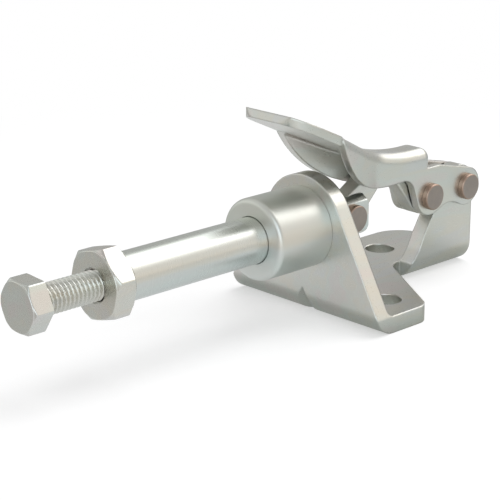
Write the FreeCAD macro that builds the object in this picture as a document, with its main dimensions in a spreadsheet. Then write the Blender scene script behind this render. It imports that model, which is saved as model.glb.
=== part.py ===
# Straight-line toggle clamp, in millimetres. +X is the way the plunger advances, +Z is up.
# The origin lies on the mounting plane, midway between the two front mounting holes. Sizes
# along X are taken from the flange's front face, which every piece's placement allows for.
# The clamp is modelled locked, with the plunger fully advanced.
import FreeCAD, Part
import Sketcher
import math
import os
import re

# The sizes that can be set by themselves
SIZES = {
    "axis_height": 15.8,          # plunger axis above the mounting plane
    "rear_pivot_back": 39.6,      # handle pivot behind the flange's front face
    "crank_length": 10.0,         # handle pivot to link pivot
    "link_length": 20.1,          # link pivot to plunger pin
    "running_fit": 0.05,          # radial clearance of pins, plunger and threads
    "side_play": 0.2,             # sideways clearance between the nested plates
    "base_sheet": 3.0,
    "bend_inside": 1.0,           # inside radius of the base's bends
    "flange_round": 9.0,          # top of the flange about the plunger axis
    "flange_half_width": 17.5,
    "tab_length": 12.5,           # wide part of the base plate behind the flange
    "tab_corner": 3.0,
    "plate_far_edge": 16.3,       # edge of the base plate on the -Y side
    "lug_end_round": 3.7,         # rear end of the plate and of the lug about the handle pivot
    "plate_corner": 6.5,
    "waist_gap": 2.6,             # from the lug's bend to where the near diagonal would meet it
    "waist_round": 4.2,
    "lug_length": 12.6,           # front end of the lug's bend before the handle pivot
    "lug_sweep_back": 1.9,        # the lug's front edge: up from the plate, ever steeper
    "lug_sweep_rise": 2.3,
    "lug_sweep_round": 5.0,
    "lug_shoulder_back": 3.3,
    "lug_shoulder_rise": 5.0,
    "lug_shoulder_round": 5.0,
    "hole_radius": 2.75,          # mounting holes for M5 screws
    "front_hole_back": 9.44,
    "front_hole_side": 10.89,
    "rear_hole_front": 9.62,      # before the handle pivot
    "rear_hole_side": 9.19,
    "dart_rise": 4.8,             # how far the pressed dart runs up the flange
    "dart_half_width": 3.1,
    "dart_ridge_width": 3.6,      # where the dart stands out inside the bend
    "barrel_radius": 7.05,
    "barrel_length": 12.04,
    "barrel_edge": 1.0,
    "spigot_radius": 6.0,         # the barrel's rear end, riveted through the flange
    "rivet_lip": 0.7,
    "rivet_spread": 0.6,
    "plunger_radius": 4.0,
    "plunger_tail": 3.8,          # plunger behind its pin
    "plunger_nose": 41.3,
    "tail_half_flat": 3.0,        # flats on the plunger's tail
    "tail_flat_length": 7.1,
    "tail_slot_length": 10.2,
    "plunger_edge": 0.4,
    "thread_radius": 2.5,         # M5, drawn at its crests
    "thread_depth": 28.3,         # threaded bore in the plunger's nose
    "bolt_head_front": 59.7,
    "bolt_head_height": 3.5,
    "bolt_head_radius": 4.62,     # 8 mm across flats
    "bolt_length": 30.0,
    "bolt_turn": -3.3,            # how far the spindle is screwed round, degrees
    "nut_height": 4.0,
    "nut_radius": 6.35,           # 11 mm across flats
    "nut_turn": 14.3,
    "hex_chamfer": 30.0,          # degrees
    "hex_face": 0.89,             # the end's round, as a share of the hexagon's radius
    "pin_radius": 1.6,
    "pin_head_radius": 2.4,
    "pin_head_height": 1.15,
    "pin_head_edge": 0.4,
    "link_sheet": 3.0,
    "link_front_round": 3.15,
    "link_rear_round": 3.6,
    "arch_inside_front": 9.8,     # inside of the arch before the link pivot
    "arch_inside_round": 3.0,
    "arch_depth": 2.2,            # the link's depth at its front shoulder
    "arch_front_back": 7.7,       # front shoulder of the arch behind the plunger pin
    "arch_front_rise": 1.6,       # and above the rear shoulder, as the web over it rises
    "arch_rear_front": 5.3,       # rear shoulder of the arch before the link pivot
    "arch_gap": 0.9,              # clearance over the rear shoulder, under the handle's web
    "arch_outside_round": 3.0,
    "eye_play": 0.25,             # clearance round the plunger pin in the link's open eye
    "eye_middle_back": 2.05,      # room for the pin's path in that eye: its middle and far end
    "eye_middle_down": 1.55,
    "eye_swing_back": 2.6,
    "eye_swing_down": 3.4,
    "handle_sheet": 1.5,
    "handle_rear_round": 3.55,
    "handle_lobe_round": 3.55,
    "ear_waist_front": 4.9,       # centre of the shallow hollow under the ears
    "ear_waist_drop": 7.65,
    "ear_waist_round": 5.5,
    "wall_step_front": 5.2,       # front end of the lobe's rise, before the link pivot
    "web_rise": 9.0,              # top of the handle's web above the plunger axis
    "web_rear_gap": 9.8,          # web's rear end before the handle pivot
    "web_bend": 2.0,              # outside radius of the handle's bends
    "web_lip": 1.3,               # how far the web's turned-down rear end reaches below it
    "ear_drop": 3.6,              # from the web's top down to the ears' tops
    "flare_start": 15.5,          # where the walls begin to spread, behind the flange
    "flare_round": 10.0,
    "wall_front": 1.5,            # front end of the walls, behind the flange's face
    "wall_front_half_width": 8.25,
    "wall_rise": 4.15,            # walls' lower edge above the plunger axis
    "wall_step_round": 3.0,
    "wall_sweep": 18.4,           # big round under the walls' front edge
    "wall_sweep_back": 18.5,
    "wall_sweep_dip": 0.15,       # how far that round reaches below the walls' lower edge
    "paddle_rise": 25.0,          # degrees
    "paddle_root_back": 17.8,     # where the paddle's slope meets the web, before rounding
    "paddle_bend": 40.0,
    "paddle_front": 8.1,
    "paddle_half_width": 7.7,
    "paddle_corner": 5.0,
    "paddle_neck_length": 3.0,    # the paddle's root between the channel's flared walls
    "paddle_neck_rear_half": 5.25,
    "paddle_neck_front_half": 7.45,
    "paddle_shoulder": 0.3,       # from the walls' front ends to the paddle's full width
    "paddle_shoulder_round": 0.3,
}

# Places that follow from the sizes
PLACES = {
    "pivot_x": "-rear_pivot_back",
    "crank_x": "crank_length - rear_pivot_back",
    "pin_x": "crank_length + link_length - rear_pivot_back",
    "bend_outside": "bend_inside + base_sheet",
    "lug_half": "base_sheet / 2",
    "plate_rear": "rear_pivot_back + lug_end_round",
    "lug_front": "rear_pivot_back - lug_length",
    "waist_back": "rear_pivot_back - lug_length - waist_gap",
    "rear_hole_back": "rear_pivot_back - rear_hole_front",
    "lug_rise": "axis_height + 2 * lug_end_round",
    "tail_x": "crank_length + link_length - rear_pivot_back - plunger_tail",
    "wall_inside": "link_sheet / 2 + side_play",
    "wall_outside": "link_sheet / 2 + side_play + handle_sheet",
    "head_back": "bolt_head_front - bolt_head_height",
    "web_rear": "web_rear_gap - rear_pivot_back",
    "web_height": "axis_height + web_rise",
    "wall_bottom": "axis_height + wall_rise",
    "arch_rear_height": "web_rise - handle_sheet - arch_gap",
    "arch_front_height": "web_rise - handle_sheet - arch_gap + arch_front_rise",
    "arch_inside": "web_rise - handle_sheet - arch_gap + arch_front_rise - arch_depth",
    "slope": "tan(paddle_rise * 1deg)",
    "flare": "atan((wall_front_half_width - wall_outside) / (flare_start - wall_front))",
}

doc = FreeCAD.newDocument("ToggleClamp")
sheet = doc.addObject("Spreadsheet::Sheet", "Sizes")
for row, (alias, value) in enumerate(SIZES.items(), start=1):
    sheet.set(f"A{row}", alias)
    sheet.set(f"B{row}", str(value))
    sheet.setAlias(f"B{row}", alias)
doc.recompute()


def spelled(text):
    """An expression in full: places written out, and every size read from the sheet."""
    def name(match):
        word = match.group(0)
        if word in PLACES:
            return "(" + spelled(PLACES[word]) + ")"
        return "Sizes." + word if word in SIZES else word
    return re.sub(r"[a-z_]+[a-z]", name, str(text))


def value_of(text):
    return float(sheet.evalExpression(spelled(text)))


def bind(thing, prop, text):
    thing.setExpression(prop, spelled(text))


# Outlines. A corner is a point, rounded or sharp; a roller is a round that the line runs
# about, +1 with the material inside it and -1 with the material outside it.
def corner(x, y, radius=None):
    return {"x": x, "y": y, "radius": radius, "turn": 0}


def roller(x, y, radius, turn=1):
    return {"x": x, "y": y, "radius": radius, "turn": turn}


def tangent_path(stops):
    """For each stop, where the line comes in and leaves, and the centre between."""
    count = len(stops)
    spots = [FreeCAD.Vector(value_of(s["x"]), value_of(s["y"]), 0) for s in stops]
    rounds = [value_of(s["radius"]) * s["turn"] if s["turn"] else 0.0 for s in stops]
    ways = []
    for i in range(count):
        j = (i + 1) % count
        step = spots[j] - spots[i]
        ways.append(math.atan2(step.y, step.x) - math.asin((rounds[j] - rounds[i]) / step.Length))
    path = []
    for i, stop in enumerate(stops):
        way_in, way_out = ways[i - 1], ways[i]
        turned = math.atan2(math.sin(way_out - way_in), math.cos(way_out - way_in))
        along_in = FreeCAD.Vector(math.cos(way_in), math.sin(way_in), 0)
        along_out = FreeCAD.Vector(math.cos(way_out), math.sin(way_out), 0)
        left_in = FreeCAD.Vector(-along_in.y, along_in.x, 0)
        left_out = FreeCAD.Vector(-along_out.y, along_out.x, 0)
        if stop["turn"]:
            centre = spots[i]
            start, end = centre - left_in * rounds[i], centre - left_out * rounds[i]
            side = stop["turn"]
        elif stop["radius"] is not None:
            radius = value_of(stop["radius"])
            side = 1 if turned > 0 else -1
            reach = radius * math.tan(abs(turned) / 2)
            start, end = spots[i] - along_in * reach, spots[i] + along_out * reach
            centre = start + left_in * (radius * side)
        else:
            start = end = spots[i]
            centre, side = None, 0
        path.append({"start": start, "end": end, "centre": centre, "side": side})
    return path


def draw(sketch, stops):
    """Puts a closed outline of lines and tangent arcs into a sketch, fully constrained."""
    path = tangent_path(stops)
    count = len(stops)
    lines = []
    for i in range(count):
        following = path[(i + 1) % count]
        lines.append(sketch.addGeometry(Part.LineSegment(path[i]["end"], following["start"])))
    for i, (stop, way) in enumerate(zip(stops, path)):
        line_in, line_out = lines[i - 1], lines[i]
        if way["centre"] is None:
            sketch.addConstraint(Sketcher.Constraint("Coincident", line_in, 2, line_out, 1))
            pin_point(sketch, line_out, 1, stop)
            continue
        first, last = (way["start"], way["end"]) if way["side"] > 0 else (way["end"], way["start"])
        spokes = [point - way["centre"] for point in (first, last)]
        angles = [math.atan2(spoke.y, spoke.x) for spoke in spokes]
        circle = Part.Circle(way["centre"], FreeCAD.Vector(0, 0, 1), spokes[0].Length)
        arc = sketch.addGeometry(Part.ArcOfCircle(circle, *angles))
        enters, leaves = (1, 2) if way["side"] > 0 else (2, 1)
        sketch.addConstraint(Sketcher.Constraint("Tangent", line_in, 2, arc, enters))
        sketch.addConstraint(Sketcher.Constraint("Tangent", arc, leaves, line_out, 1))
        size = sketch.addConstraint(Sketcher.Constraint("Radius", arc, spokes[0].Length))
        bind(sketch, f"Constraints[{size}]", stop["radius"])
        if stop["turn"]:
            pin_point(sketch, arc, 3, stop)
        else:
            spot = FreeCAD.Vector(value_of(stop["x"]), value_of(stop["y"]), 0)
            mark = sketch.addGeometry(Part.Point(spot), True)
            sketch.addConstraint(Sketcher.Constraint("PointOnObject", mark, 1, line_in))
            sketch.addConstraint(Sketcher.Constraint("PointOnObject", mark, 1, line_out))
            pin_point(sketch, mark, 1, stop)


def pin_point(sketch, item, place, stop):
    """Holds a point of the sketch at its place, read from the sheet."""
    for kind, text in (("DistanceX", stop["x"]), ("DistanceY", stop["y"])):
        held = sketch.addConstraint(Sketcher.Constraint(kind, -1, 1, item, place, value_of(text)))
        bind(sketch, f"Constraints[{held}]", text)


def draw_circle(sketch, x, y, radius):
    circle = Part.Circle(FreeCAD.Vector(value_of(x), value_of(y), 0), FreeCAD.Vector(0, 0, 1),
                         value_of(radius))
    item = sketch.addGeometry(circle)
    size = sketch.addConstraint(Sketcher.Constraint("Radius", item, value_of(radius)))
    bind(sketch, f"Constraints[{size}]", radius)
    pin_point(sketch, item, 3, {"x": x, "y": y})


# Building blocks
def new_body(name, x="0", z="0"):
    body = doc.addObject("PartDesign::Body", name)
    body.Label = name
    bind(body, "Placement.Base.x", f"front_hole_back + {x}")
    bind(body, "Placement.Base.z", z)
    return body


def new_sketch(body, name, plane, offset="0"):
    sketch = body.newObject("Sketcher::SketchObject", name)
    support = next(item for item in body.Origin.OriginFeatures if item.Role == plane + "_Plane")
    sketch.AttachmentSupport = [(support, "")]
    sketch.MapMode = "FlatFace"
    bind(sketch, "AttachmentOffset.Base.z", offset)
    return sketch


def pad(body, sketch, length, kind="PartDesign::Pad", side="One side", reversed_way=False):
    """Adds or takes away the outline along a length; symmetric lengths are the whole width."""
    feature = body.newObject(kind, sketch.Name + "_solid")
    feature.Profile = sketch
    feature.SideType = side
    feature.Reversed = reversed_way
    bind(feature, "Length", length)
    doc.recompute()
    return feature


def cut(body, sketch, length, reversed_way=False):
    return pad(body, sketch, length, "PartDesign::Pocket", "Symmetric", reversed_way)


def turn(body, sketch, kind="PartDesign::Revolution"):
    """Turns the outline about the sketch's horizontal axis."""
    feature = body.newObject(kind, sketch.Name + "_turned")
    feature.Profile = sketch
    feature.ReferenceAxis = (sketch, ["H_Axis"])
    feature.Angle = 360.0
    doc.recompute()
    return feature


def round_edges(body, name, chosen, radius):
    """Rounds those edges of the body's tip that the given test picks out."""
    base = body.Tip
    names = [f"Edge{i}" for i, edge in enumerate(base.Shape.Edges, start=1) if chosen(edge)]
    feature = body.newObject("PartDesign::Fillet", name)
    feature.Base = (base, names)
    bind(feature, "Radius", radius)
    doc.recompute()
    return feature


def lies_on(edge, **place):
    """True where the whole edge lies at the given x, y or z."""
    box = edge.BoundBox
    spans = {"x": (box.XMin, box.XMax), "y": (box.YMin, box.YMax), "z": (box.ZMin, box.ZMax)}
    return all(abs(limit - value_of(text)) < 1e-4 for axis, text in place.items()
               for limit in spans[axis])


# Base: one bent sheet with a front flange, a foot and an upright lug
def make_base():
    body = new_body("base_bracket")
    foot = new_sketch(body, "foot", "XY")
    draw(foot, [
        corner("0", "-flange_half_width"),
        corner("0", "flange_half_width"),
        corner("-tab_length", "flange_half_width", "tab_corner"),
        corner("-waist_back", "-lug_half", "waist_round"),
        corner("-lug_front", "-lug_half"),
        corner("-lug_front", "-plate_far_edge"),
        corner("-tab_length - base_sheet / 2", "-plate_far_edge"),
        corner("-tab_length", "-flange_half_width"),
    ])
    pad(body, foot, "base_sheet")
    flange = new_sketch(body, "flange", "YZ")
    draw(flange, [
        corner("-flange_half_width", "0"),
        corner("flange_half_width", "0"),
        corner("flange_half_width", "base_sheet"),
        roller("0", "axis_height", "flange_round"),
        corner("-flange_half_width", "base_sheet"),
    ])
    pad(body, flange, "base_sheet", reversed_way=True)
    fold = new_sketch(body, "lug_fold", "YZ", "-plate_rear")
    draw(fold, [
        corner("-plate_far_edge", "0"),
        corner("lug_half", "0", "bend_outside"),
        corner("lug_half", "lug_rise"),
        corner("-lug_half", "lug_rise"),
        corner("-lug_half", "base_sheet", "bend_inside"),
        corner("-plate_far_edge", "base_sheet"),
    ])
    pad(body, fold, "plate_rear - lug_front")
    round_edges(body, "flange_bend_outside", lambda edge: lies_on(edge, x="0", z="0"), "bend_outside")
    round_edges(body, "flange_bend_inside",
                lambda edge: lies_on(edge, x="-base_sheet", z="base_sheet"), "bend_inside")
    round_edges(body, "foot_corner",
                lambda edge: lies_on(edge, x="-plate_rear", y="-plate_far_edge"), "plate_corner")
    trim = new_sketch(body, "lug_trim", "XZ")
    draw(trim, [
        corner("-lug_front + base_sheet", "base_sheet"),
        corner("-lug_front", "base_sheet"),
        corner("-lug_front - lug_sweep_back", "base_sheet + lug_sweep_rise", "lug_sweep_round"),
        corner("-lug_front - lug_shoulder_back", "base_sheet + lug_shoulder_rise",
               "lug_shoulder_round"),
        roller("pivot_x", "axis_height", "lug_end_round"),
        corner("-plate_rear", "axis_height - base_sheet"),
        corner("-plate_rear - base_sheet", "axis_height - base_sheet"),
        corner("-plate_rear - base_sheet", "lug_rise + base_sheet"),
        corner("-lug_front + base_sheet", "lug_rise + base_sheet"),
    ])
    cut(body, trim, "2 * base_sheet")
    press_dart(body)
    holes = new_sketch(body, "mounting_holes", "XY")
    for x, y in (("-front_hole_back", "front_hole_side"), ("-front_hole_back", "-front_hole_side"),
                 ("-rear_hole_back", "-rear_hole_side")):
        draw_circle(holes, x, y, "hole_radius")
    cut(body, holes, "4 * base_sheet")
    seat = new_sketch(body, "barrel_seat", "YZ")
    draw_circle(seat, "0", "axis_height", "spigot_radius")
    cut(body, seat, "4 * base_sheet")
    bore = new_sketch(body, "handle_pin_hole", "XZ")
    draw_circle(bore, "pivot_x", "axis_height", "pin_radius + running_fit")
    cut(body, bore, "4 * base_sheet")
    return body


def press_dart(body):
    """The dart that stiffens the front bend: a vee pressed in outside, a ridge inside."""
    ridge = new_sketch(body, "dart_ridge", "XZ")
    draw(ridge, [
        corner("-base_sheet", "base_sheet"),
        corner("-base_sheet", "dart_rise"),
        corner("-dart_rise", "base_sheet"),
    ])
    pad(body, ridge, "dart_ridge_width", side="Symmetric")
    valley = new_sketch(body, "dart_valley", "YZ")
    draw(valley, [
        corner("-dart_half_width", "0"),
        corner("dart_half_width", "0"),
        corner("0", "dart_rise"),
    ])
    groove = body.newObject("PartDesign::Pocket", "dart_valley_solid")
    groove.Profile = valley
    groove.UseCustomVector = True
    groove.Direction = FreeCAD.Vector(-1, 0, -1)
    groove.AlongSketchNormal = False
    bind(groove, "Length", "2 * dart_rise")
    doc.recompute()


# Guide barrel: turned, its spigot riveted over behind the flange
def make_barrel():
    body = new_body("guide_barrel", z="axis_height")
    profile = new_sketch(body, "barrel", "XZ")
    draw(profile, [
        corner("-base_sheet - rivet_lip", "plunger_radius + running_fit"),
        corner("barrel_length", "plunger_radius + running_fit"),
        corner("barrel_length", "barrel_radius", "barrel_edge"),
        corner("0", "barrel_radius"),
        corner("0", "spigot_radius"),
        corner("-base_sheet", "spigot_radius"),
        corner("-base_sheet", "spigot_radius + rivet_spread"),
        corner("-base_sheet - rivet_lip", "spigot_radius"),
    ])
    turn(body, profile)
    return body


# Plunger: round bar with a slotted, flatted tail and a threaded bore in its nose
def make_plunger():
    body = new_body("plunger", z="axis_height")
    profile = new_sketch(body, "plunger_bar", "XZ")
    bore = "thread_radius + running_fit"
    draw(profile, [
        corner("tail_x", "0"),
        corner("plunger_nose - thread_depth - thread_radius / 2", "0"),
        corner("plunger_nose - thread_depth", bore),
        corner("plunger_nose", bore),
        corner("plunger_nose", "plunger_radius - plunger_edge"),
        corner("plunger_nose - plunger_edge", "plunger_radius"),
        corner("tail_x + plunger_edge", "plunger_radius"),
        corner("tail_x", "plunger_radius - plunger_edge"),
    ])
    turn(body, profile)
    flats = new_sketch(body, "tail_flats", "XY")
    for side in ("", "-"):
        draw(flats, box_outline("tail_x - plunger_edge", "tail_x + tail_flat_length",
                                side + "tail_half_flat", side + "2 * tail_half_flat"))
    cut(body, flats, "4 * plunger_radius")
    slot = new_sketch(body, "tail_slot", "XY")
    draw(slot, box_outline("tail_x - plunger_edge", "tail_x + tail_slot_length",
                           "-wall_inside", "wall_inside"))
    cut(body, slot, "4 * plunger_radius")
    hole = new_sketch(body, "plunger_pin_hole", "XZ")
    draw_circle(hole, "pin_x", "0", "pin_radius")
    cut(body, hole, "4 * plunger_radius")
    return body


def box_outline(left, right, low, high):
    return [corner(left, low), corner(right, low), corner(right, high), corner(left, high)]


# Headed pins, each turned in one piece and riveted against the outer faces
def make_pin(label, x, seat):
    body = new_body(label, x, "axis_height")
    profile = new_sketch(body, label + "_profile", "YZ")
    end = seat + " + pin_head_height"
    draw(profile, [
        corner(f"-({end})", "0"),
        corner(end, "0"),
        corner(end, "pin_head_radius", "pin_head_edge"),
        corner(seat, "pin_head_radius"),
        corner(seat, "pin_radius"),
        corner(f"-({seat})", "pin_radius"),
        corner(f"-({seat})", "pin_head_radius"),
        corner(f"-({end})", "pin_head_radius", "pin_head_edge"),
    ])
    turn(body, profile)
    return body


# Link: a flat arched plate between the handle's walls. Its front eye is open below, so
# that the plunger pin has room where the real linkage and a constant ratio differ.
def make_link():
    body = new_body("link")
    plate = new_sketch(body, "link_plate", "XZ")
    draw(plate, [
        roller("crank_x", "axis_height", "link_rear_round"),
        corner("crank_x + arch_inside_front", "axis_height + arch_inside", "arch_inside_round"),
        roller("pin_x", "axis_height", "link_front_round"),
        corner("pin_x - arch_front_back", "axis_height + arch_front_height", "arch_outside_round"),
        corner("crank_x + arch_rear_front", "axis_height + arch_rear_height", "arch_outside_round"),
    ])
    pad(body, plate, "link_sheet", side="Symmetric")
    eyes = new_sketch(body, "link_eyes", "XZ")
    draw_circle(eyes, "crank_x", "axis_height", "pin_radius + running_fit")
    room = "pin_radius + eye_play"
    below = "axis_height - 3 * link_front_round"
    draw(eyes, [
        corner(f"pin_x + {room}", below),
        roller("pin_x", "axis_height", room),
        roller("pin_x - eye_middle_back", "axis_height - eye_middle_down", room),
        roller("pin_x - eye_swing_back", "axis_height - eye_swing_down", room),
        corner(f"pin_x - eye_swing_back - ({room})", below),
    ])
    cut(body, eyes, "2 * link_sheet")
    return body


# Handle: one sheet bent into a channel, with ears behind and a flat paddle in front
def make_handle():
    wall_blank = join("handle_blank", "Part::MultiFuse",
                      [channel("handle_outside", "0"), prism("ear_block", "XY", box_outline(
                          "2 * pivot_x", "web_rear + 2 * web_bend", "-wall_outside",
                          "wall_outside"), "web_height - ear_drop")])
    walls = join("handle_walls", "Part::MultiCommon", [wall_blank, make_side_view()])
    whole = join("handle_solid", "Part::MultiFuse", [walls, make_paddle()])
    pin_holes = prism("handle_pin_holes", "XZ", None, "4 * wall_outside", "Symmetric")
    hollow = join("handle_hollow", "Part::MultiFuse",
                  [channel("handle_inside", "handle_sheet"), prism("ear_gap", "XY", box_outline(
                      "2 * pivot_x", "web_rear + 2 * handle_sheet", "-wall_inside",
                      "wall_inside"), "web_height - handle_sheet - web_lip"), pin_holes])
    handle = doc.addObject("Part::Cut", "handle")
    handle.Base, handle.Tool, handle.Refine = whole, hollow, True
    handle.Label = "handle"
    doc.recompute()
    return handle


def join(name, kind, shapes):
    result = doc.addObject(kind, name)
    result.Shapes = shapes
    result.Refine = True
    doc.recompute()
    return result


def prism(name, plane, outline, length, side="One side"):
    """A body of one outline; without one, the two pin holes through the handle's walls."""
    body = new_body(name)
    sketch = new_sketch(body, name + "_outline", plane)
    if outline is None:
        for x in ("pivot_x", "crank_x"):
            draw_circle(sketch, x, "axis_height", "pin_radius")
    else:
        draw(sketch, outline)
    pad(body, sketch, length, side=side)
    return body


def channel(name, inset):
    """The channel's solid form, moved inwards all round by the inset."""
    body = new_body(name)
    plan = new_sketch(body, name + "_plan", "XY")
    half, front = f"(wall_outside - {inset})", "-wall_front"
    bend_x = f"-flare_start + {inset} * tan(flare / 2)"
    if inset != "0":
        front = "wall_front + 2 * paddle_front"
    front_half = f"{half} + ({front} + flare_start - {inset} * tan(flare / 2)) * tan(flare)"
    draw(plan, [
        corner("2 * pivot_x", f"-{half}"),
        corner(bend_x, f"-{half}", f"flare_round + {inset}"),
        corner(front, f"-({front_half})"),
        corner(front, front_half),
        corner(bend_x, half, f"flare_round + {inset}"),
        corner("2 * pivot_x", half),
    ])
    pad(body, plan, "3 * web_height")
    root = f"(-paddle_root_back + {inset} * tan(paddle_rise * 0.5deg))"
    far = "4 * paddle_front"
    above = new_sketch(body, name + "_above", "XZ")
    draw(above, [
        corner(far, f"web_height - {inset} + slope * ({far} - {root})"),
        corner(root, f"web_height - {inset}", f"paddle_bend + {inset}"),
        corner(f"web_rear + {inset}", f"web_height - {inset}"),
        corner(f"web_rear + {inset}", "-base_sheet"),
        corner("3 * pivot_x", "-base_sheet"),
        corner("3 * pivot_x", "4 * web_height"),
        corner(far, "4 * web_height"),
    ])
    cut(body, above, "8 * wall_front_half_width")
    round_edges(body, name + "_bends", lambda edge: is_long_bend(edge, body.Tip.Shape),
                f"web_bend - {inset}")
    return body


def is_long_bend(edge, shape):
    """True between a side wall and the web, and all round the web's turned-down rear end."""
    middle = edge.valueAt((edge.FirstParameter + edge.LastParameter) / 2)
    normals = []
    for face in shape.ancestorsOfType(edge, Part.Face):
        normals.append(face.normalAt(*face.Surface.parameter(middle)))
    sides = [n for n in normals if abs(n.z) < 1e-6 and abs(n.y) > 0.5]
    webs = [n for n in normals if abs(n.y) < 1e-6 and n.z > 0.5]
    ends = [n for n in normals if n.x < -0.99]
    return (len(sides), len(webs), len(ends)) in ((1, 1, 0), (1, 0, 1), (0, 1, 1))


def make_side_view():
    """The handle as seen from the side, without the paddle."""
    return prism("handle_side_view", "XZ", [
        roller("pivot_x", "axis_height", "handle_rear_round"),
        roller("pivot_x + ear_waist_front", "axis_height - ear_waist_drop", "ear_waist_round", -1),
        roller("crank_x", "axis_height", "handle_lobe_round"),
        corner("crank_x + wall_step_front", "wall_bottom", "wall_step_round"),
        roller("-wall_sweep_back", "wall_bottom + wall_sweep - wall_sweep_dip", "wall_sweep"),
        corner("2 * wall_front", "3 * axis_height"),
        corner("web_rear - web_bend", "3 * axis_height"),
        corner("web_rear - web_bend", "web_height - ear_drop"),
    ], "8 * wall_front_half_width", "Symmetric")


def make_paddle():
    rear = "(-wall_front - paddle_neck_length)"
    top = f"web_height + slope * (paddle_root_back + {rear})"
    front_top = "web_height + slope * (paddle_root_back + paddle_front)"
    tip = "paddle_front + handle_sheet * sin(paddle_rise * 1deg)"
    side = prism("paddle_side", "XZ", [
        corner(rear, f"{top} - handle_sheet / cos(paddle_rise * 1deg)"),
        corner(tip, f"{front_top} - handle_sheet * cos(paddle_rise * 1deg)"),
        corner("paddle_front", front_top),
        corner(rear, top),
    ], "4 * paddle_half_width", "Symmetric")
    shoulder = "paddle_shoulder - wall_front"
    plan = prism("paddle_plan", "XY", [
        corner(rear, "-paddle_neck_rear_half"),
        corner("-wall_front", "-paddle_neck_front_half"),
        corner(shoulder, "-paddle_half_width", "paddle_shoulder_round"),
        corner(tip, "-paddle_half_width", "paddle_corner"),
        corner(tip, "paddle_half_width", "paddle_corner"),
        corner(shoulder, "paddle_half_width", "paddle_shoulder_round"),
        corner("-wall_front", "paddle_neck_front_half"),
        corner(rear, "paddle_neck_rear_half"),
    ], "3 * web_height")
    return join("paddle", "Part::MultiCommon", [side, plan])


# Hexagons, standing across the plunger's axis
def hexagon(body, name, back, height, radius, turned, hole=None):
    sketch = new_sketch(body, name + "_hexagon", "YZ", back)
    ways = [f"({turned} + {60 * i}) * 1deg" for i in range(6)]
    draw(sketch, [corner(f"{radius} * cos({way})", f"{radius} * sin({way})") for way in ways])
    if hole:
        draw_circle(sketch, "0", "0", hole)
    pad(body, sketch, height)


def chamfer_hexagon(body, name, end, inwards, radius):
    """Turns the hexagon's corners down to a cone at one end; inwards is -1 or 1."""
    sketch = new_sketch(body, name + "_chamfer", "XZ")
    inner = f"{radius} * hex_face"
    outer = f"{radius} * (2 - hex_face)"
    draw(sketch, [
        corner(end, inner),
        corner(f"{end} + {inwards} * ({outer} - {inner}) * tan(hex_chamfer * 1deg)", outer),
        corner(f"{end} - {inwards}", outer),
        corner(f"{end} - {inwards}", inner),
    ])
    turn(body, sketch, "PartDesign::Groove")


def make_spindle():
    body = new_body("spindle_bolt", z="axis_height")
    hexagon(body, "bolt_head", "head_back", "bolt_head_height", "bolt_head_radius", "bolt_turn")
    chamfer_hexagon(body, "bolt_head", "bolt_head_front", "-1", "bolt_head_radius")
    shank = new_sketch(body, "bolt_shank", "YZ", "head_back - bolt_length")
    draw_circle(shank, "0", "0", "thread_radius")
    pad(body, shank, "bolt_length")
    return body


def make_nut():
    body = new_body("lock_nut", z="axis_height")
    hexagon(body, "nut", "plunger_nose", "nut_height", "nut_radius", "nut_turn",
            "thread_radius + running_fit")
    chamfer_hexagon(body, "nut_rear", "plunger_nose", "1", "nut_radius")
    chamfer_hexagon(body, "nut_front", "plunger_nose + nut_height", "-1", "nut_radius")
    return body


nodes = [
    make_base(),
    make_barrel(),
    make_plunger(),
    make_pin("plunger_pin", "pin_x", "tail_half_flat"),
    make_link(),
    make_pin("link_pin", "crank_x", "wall_outside"),
    make_pin("handle_pin", "pivot_x", "wall_outside"),
    make_handle(),
    make_spindle(),
    make_nut(),
]

# Nothing is written unless every feature worked
doc.recompute()
for item in doc.Objects:
    if "Invalid" in item.State or "Error" in item.State:
        raise RuntimeError(f"{item.Label} failed: {item.State}")
for node in nodes:
    if node.Shape.isNull() or not node.Shape.isValid() or len(node.Shape.Solids) != 1:
        raise RuntimeError(f"{node.Label} is not one sound solid")
os.makedirs("parts", exist_ok=True)
for node in nodes:
    node.Shape.exportStep(f"parts/{node.Label}.step")
    print(node.Label, round(node.Shape.Volume, 2), node.Shape.BoundBox)
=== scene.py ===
import math
import bmesh
import bpy
import numpy as np
from mathutils import Matrix


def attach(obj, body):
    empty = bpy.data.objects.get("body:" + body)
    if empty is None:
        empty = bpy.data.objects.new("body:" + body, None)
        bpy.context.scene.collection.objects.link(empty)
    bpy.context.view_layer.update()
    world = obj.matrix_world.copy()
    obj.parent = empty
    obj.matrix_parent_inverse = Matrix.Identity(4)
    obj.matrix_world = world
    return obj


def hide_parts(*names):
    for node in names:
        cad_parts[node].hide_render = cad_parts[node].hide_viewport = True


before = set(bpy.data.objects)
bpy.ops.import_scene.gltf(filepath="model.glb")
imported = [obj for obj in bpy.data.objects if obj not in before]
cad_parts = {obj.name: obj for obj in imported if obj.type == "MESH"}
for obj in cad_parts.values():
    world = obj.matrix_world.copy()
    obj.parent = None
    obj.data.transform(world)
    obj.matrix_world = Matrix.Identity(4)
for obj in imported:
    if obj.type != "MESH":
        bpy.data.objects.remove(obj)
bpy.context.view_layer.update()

mm = 0.001
shiftX = 9.44  # the flange's front face lies this far before the origin
axisHeight = 15.8  # plunger axis over the jig plate
print("frame loaded:", len(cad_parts), "nodes")


# meshes from arrays
# Four-cornered faces between neighbouring rings; columns always close on themselves.
def gridFaces(rows, columns, closeRows=False):
    ring = np.arange(rows if closeRows else rows - 1)[:, None] * columns
    ahead = (ring + columns) % (rows * columns)
    step = np.arange(columns)[None, :]
    beside = (step + 1) % columns
    corners = [ring + step, ahead + step, ahead + beside, ring + beside]
    return np.stack(corners, -1).reshape(-1, 4)


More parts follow.
